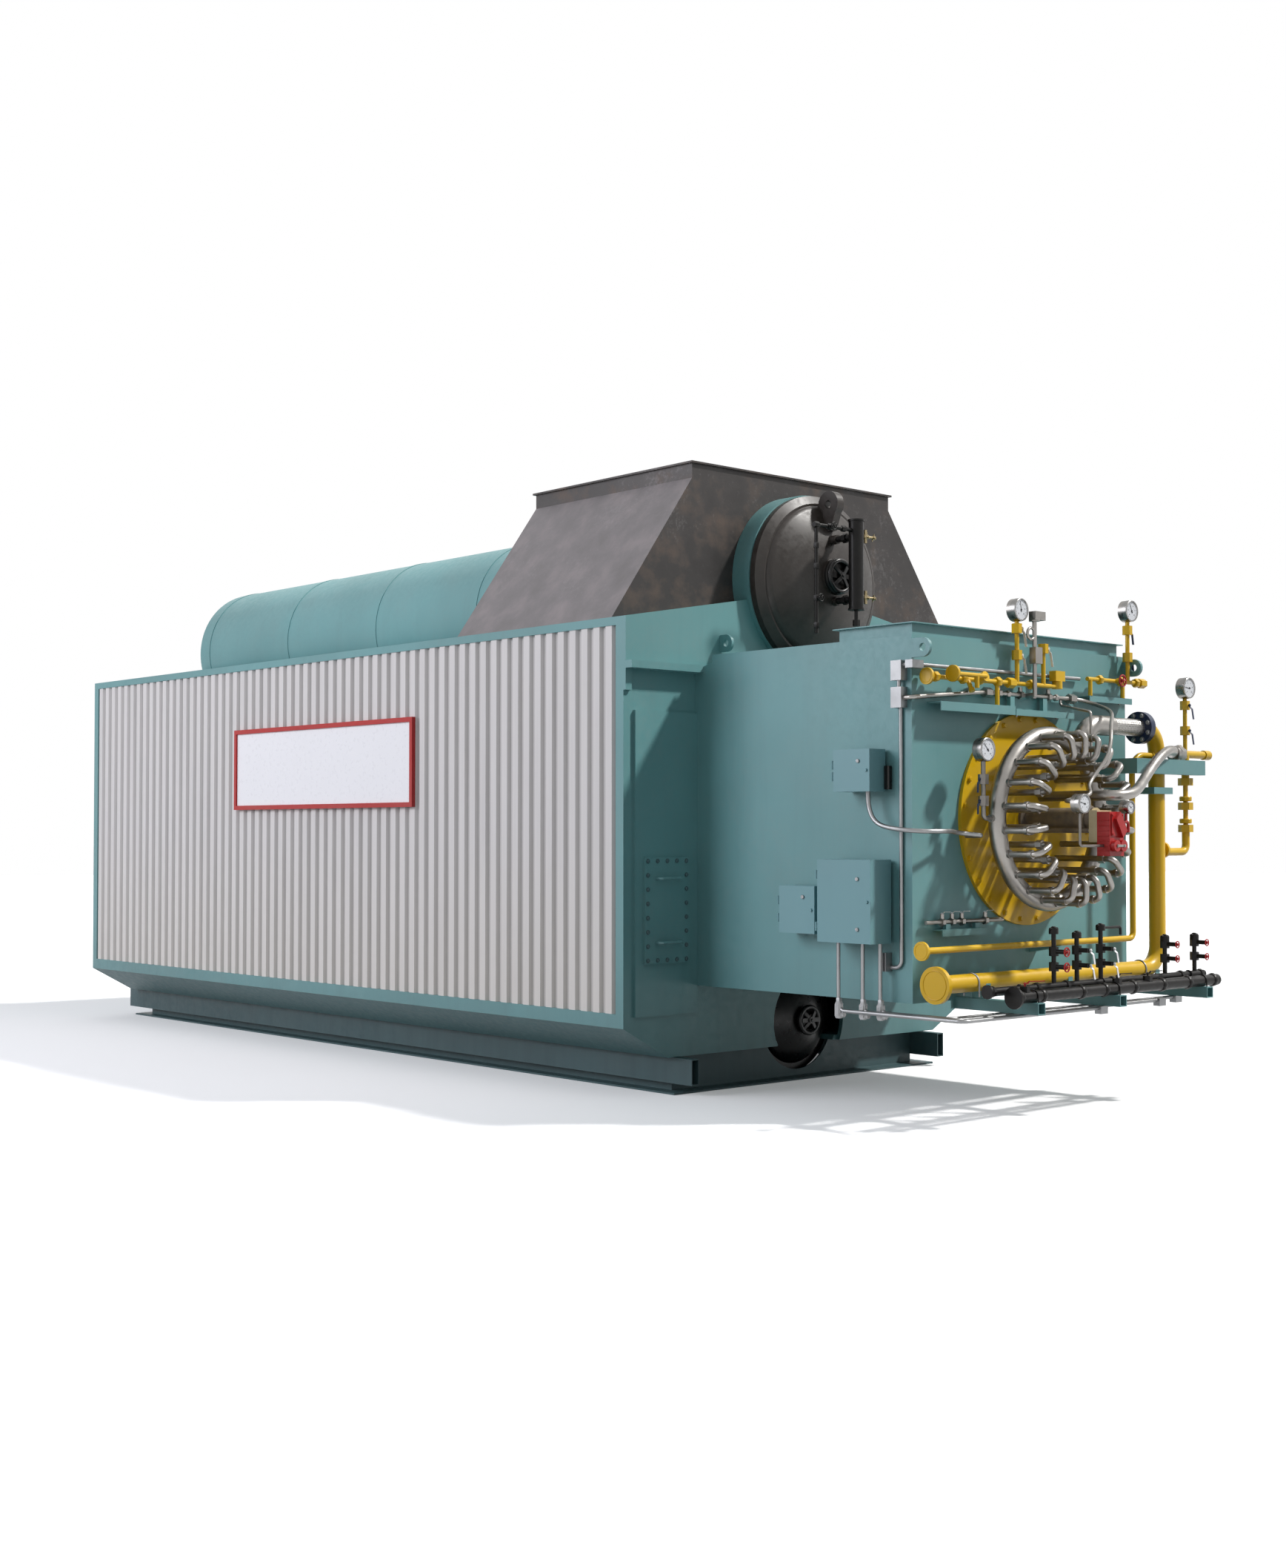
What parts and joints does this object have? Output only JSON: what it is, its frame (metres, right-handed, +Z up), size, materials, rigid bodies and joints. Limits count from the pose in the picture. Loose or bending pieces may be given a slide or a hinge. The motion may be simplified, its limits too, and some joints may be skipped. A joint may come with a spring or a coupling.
{
  "type": "industrial boiler",
  "caption": "Packaged industrial watertube boiler with a steam drum along the top, ribbed casing, flue hopper, front windbox and a gas burner with its piping.",
  "frame": {"origin": "floor level under the centre of the casing's front wall, on the underside of the base", "axes": "+X to the right as seen from the burner end, +Y towards the rear, +Z up"},
  "size_m": [3.2933, 9.4815, 3.914],
  "materials": {
    "teal_paint": "satin",
    "cladding_grey": "satin",
    "hopper_dark": "matt, weathered",
    "black_paint": "satin",
    "yellow_paint": "satin",
    "navy_paint": "satin",
    "red_paint": "satin",
    "white_paint": "satin",
    "box_grey": "satin",
    "beige_paint": "satin",
    "stainless": "brushed",
    "galvanised": "dull",
    "brass": "dull"
  },
  "bodies": {
    "boiler": {"access_doors": "teal_paint", "air_inlet_collar": "teal_paint", "base_cross_beams": "teal_paint", "base_end_beams": "teal_paint", "base_side_beams": "teal_paint", "braided_joint": "stainless", "burner_actuator": "red_paint", "burner_gun": "beige_paint", "burner_hose": "stainless", "burner_plate": "yellow_paint", "casing_floor": "teal_paint", "casing_lugs": "teal_paint", "conduits": "galvanised", "drain_headers": "black_paint", "drum_manway": "black_paint", "front_ledges": "teal_paint", "front_panels": "teal_paint", "front_wall": "teal_paint", "gas_ring": "stainless", "gas_spuds": "stainless", "gauge_cocks": "brass", "gauge_pipes": "black_paint", "header_brackets": "teal_paint", "hopper_ends": "hopper_dark", "hopper_sides": "hopper_dark", "joint_flanges": "navy_paint", "lower_slopes": "teal_paint", "main_box": "box_grey", "main_gas_pipe": "yellow_paint", "mud_drum_heads": "black_paint", "mud_drum_shell": "teal_paint", "pilot_gas_pipe": "yellow_paint", "pipe_supports": "teal_paint", "pressure_gauges": "stainless", "rear_wall": "teal_paint", "right_gas_riser": "yellow_paint", "roof_panels": "teal_paint", "side_cladding": "cladding_grey", "side_trim": "teal_paint", "side_walls": "teal_paint", "sign_board": "white_paint", "sign_frame": "red_paint", "skid_tubes": "teal_paint", "small_box": "box_grey", "stack_flange": "hopper_dark", "steam_drum_front_head": "black_paint", "steam_drum_jacket": "teal_paint", "steam_drum_rear_head": "teal_paint", "tube_line": "stainless", "upper_box": "box_grey", "upper_gas_train": "yellow_paint", "water_column": "black_paint", "windbox_floor": "teal_paint", "windbox_front": "teal_paint", "windbox_lugs": "teal_paint", "windbox_sides": "teal_paint", "windbox_top": "teal_paint"},
    "main_box_door": {"main_box_door": "box_grey"},
    "small_box_door": {"small_box_door": "box_grey"},
    "upper_box_door": {"upper_box_door": "box_grey"}
  },
  "joints": [
    {"name": "main_box_hinge", "type": "hinge", "parent": "boiler", "child": "main_box_door", "pos_m": [-1.2023, -1.1915, 1.2085], "axis": [0, 0, -1], "range_deg": [0, 110]},
    {"name": "small_box_hinge", "type": "hinge", "parent": "boiler", "child": "small_box_door", "pos_m": [-1.1423, -0.8355, 1.1495], "axis": [0, 0, -1], "range_deg": [0, 110]},
    {"name": "upper_box_hinge", "type": "hinge", "parent": "boiler", "child": "upper_box_door", "pos_m": [-1.1623, -1.2785, 1.9335], "axis": [0, 0, -1], "range_deg": [0, 110]}
  ]
}
